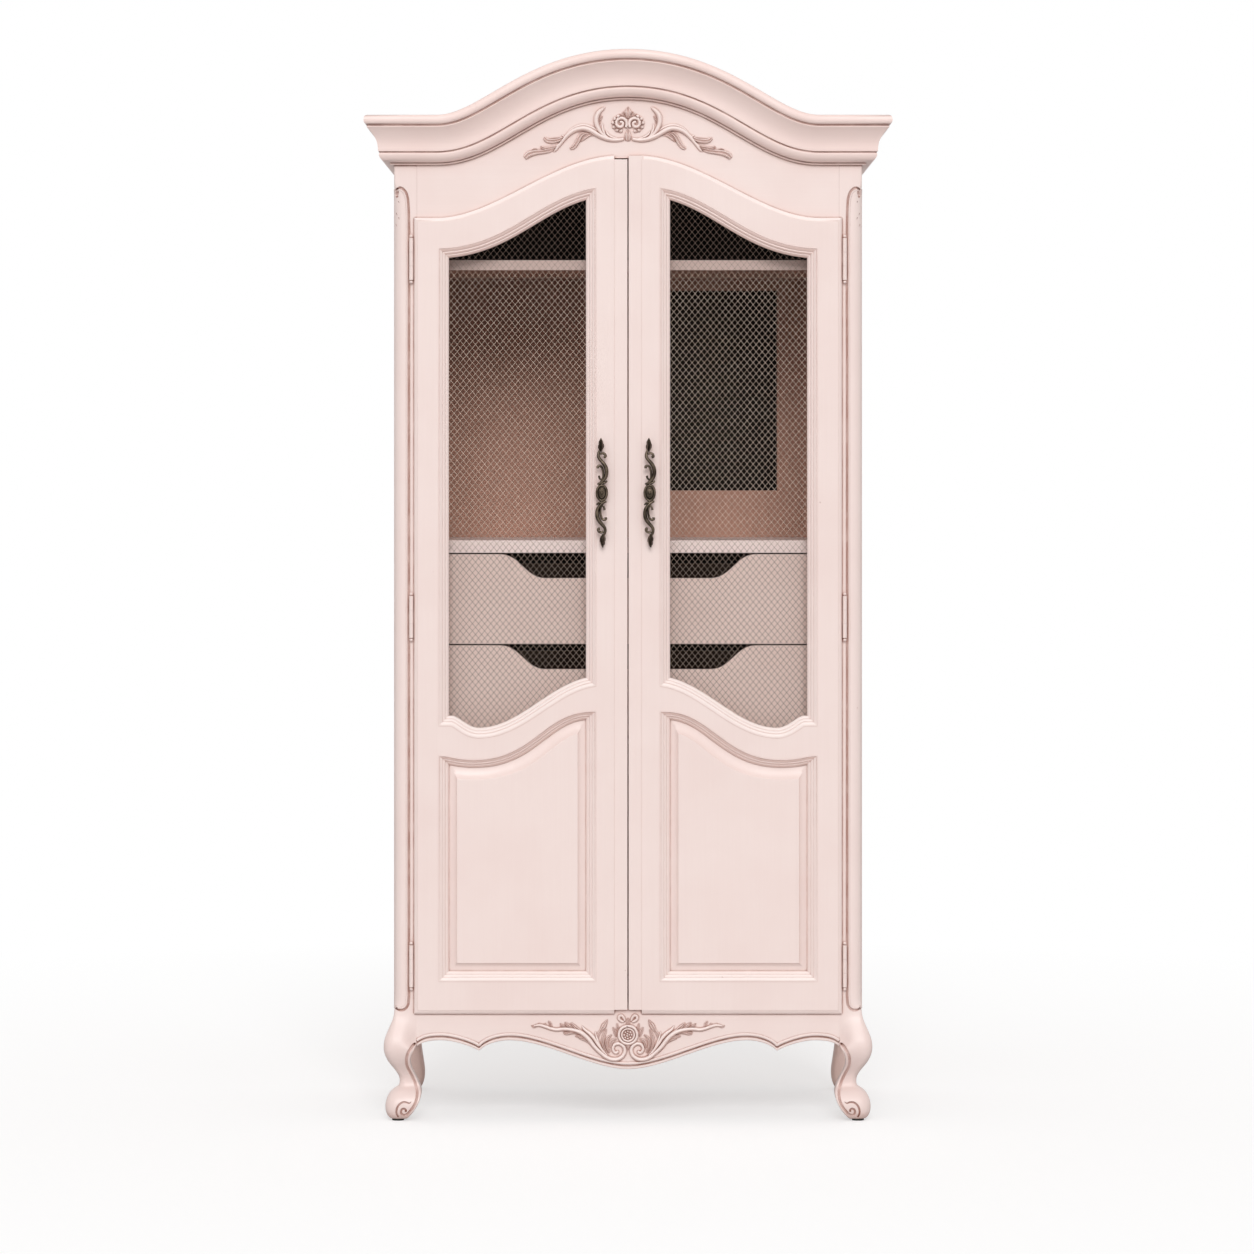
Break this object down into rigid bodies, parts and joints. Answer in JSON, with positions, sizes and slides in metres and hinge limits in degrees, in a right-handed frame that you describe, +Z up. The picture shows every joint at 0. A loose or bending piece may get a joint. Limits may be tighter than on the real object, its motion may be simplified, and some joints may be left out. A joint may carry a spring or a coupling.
{
  "type": "armoire",
  "caption": "Painted provincial armoire with an arched cornice, lipped double doors of wire mesh over raised panels, shelf, inner drawers and scroll feet.",
  "frame": {"origin": "on the floor, in the middle of the footprint of the whole cabinet", "axes": "+X to the viewer's right, +Y from the doors to the back, +Z up"},
  "size_m": [1.052, 0.558, 2.138],
  "materials": {
    "painted_wood": "rubbed satin paint in a pale blush over wood, with a brown glaze left in the grooves",
    "bare_wood": "plain sanded wood",
    "dark_board": "dark stained hardboard",
    "wire": "aged woven wire",
    "bronze": "dark antique bronze casting",
    "painted_hinge": "painted over with the cabinet",
    "screw": "plain steel",
    "glide": "dark moulded pad"
  },
  "bodies": {
    "carcass": {"apron_carving": "painted_wood", "back_access_cover": "dark_board", "back_panel": "painted_wood", "bottom_board": "painted_wood", "cornice_front": "painted_wood", "cornice_left": "painted_wood", "cornice_right": "painted_wood", "cover_screws": "screw", "drawer_case_bottom": "painted_wood", "drawer_case_sides": "painted_wood", "drawer_case_top": "painted_wood", "drawer_runners": "bare_wood", "foot_glides": "glide", "frieze_board": "painted_wood", "frieze_carving": "painted_wood", "front_apron": "painted_wood", "front_left_post": "painted_wood", "front_right_post": "painted_wood", "hinge_frame_leaves": "painted_hinge", "hinge_pins": "painted_hinge", "left_side_apron": "painted_wood", "left_side_panel": "painted_wood", "left_side_top_rail": "painted_wood", "rear_bottom_rail": "painted_wood", "rear_left_post": "painted_wood", "rear_right_post": "painted_wood", "rear_top_rail": "painted_wood", "right_side_apron": "painted_wood", "right_side_panel": "painted_wood", "right_side_top_rail": "painted_wood", "shelf_cleats": "painted_wood", "top_board": "painted_wood", "top_shelf": "painted_wood"},
    "left_door": {"left_door_bottom_rail": "painted_wood", "left_door_handle": "bronze", "left_door_hinge_leaves": "painted_hinge", "left_door_hinge_stile": "painted_wood", "left_door_meeting_stile": "painted_wood", "left_door_mesh_moulding": "painted_wood", "left_door_mid_rail": "painted_wood", "left_door_panel_moulding": "painted_wood", "left_door_raised_panel": "painted_wood", "left_door_top_rail": "painted_wood", "left_door_wire_mesh": "wire"},
    "right_door": {"right_door_bottom_rail": "painted_wood", "right_door_handle": "bronze", "right_door_hinge_leaves": "painted_hinge", "right_door_hinge_stile": "painted_wood", "right_door_meeting_stile": "painted_wood", "right_door_mesh_moulding": "painted_wood", "right_door_mid_rail": "painted_wood", "right_door_panel_moulding": "painted_wood", "right_door_raised_panel": "painted_wood", "right_door_top_rail": "painted_wood", "right_door_wire_mesh": "wire"},
    "upper_drawer": {"upper_drawer_box": "bare_wood", "upper_drawer_front": "painted_wood"},
    "lower_drawer": {"lower_drawer_box": "bare_wood", "lower_drawer_front": "painted_wood"}
  },
  "joints": [
    {"name": "left_door_hinge", "type": "hinge", "parent": "carcass", "child": "left_door", "pos_m": [-0.433, -0.227, 1.007], "axis": [0, 0, -1], "range_deg": [0, 170]},
    {"name": "right_door_hinge", "type": "hinge", "parent": "carcass", "child": "right_door", "pos_m": [0.433, -0.227, 1.007], "axis": [0, 0, 1], "range_deg": [0, 170]},
    {"name": "upper_drawer_slide", "type": "slide", "parent": "carcass", "child": "upper_drawer", "axis": [0, -1, 0], "range_m": [0, 0.034]},
    {"name": "lower_drawer_slide", "type": "slide", "parent": "carcass", "child": "lower_drawer", "axis": [0, -1, 0], "range_m": [0, 0.034]}
  ]
}
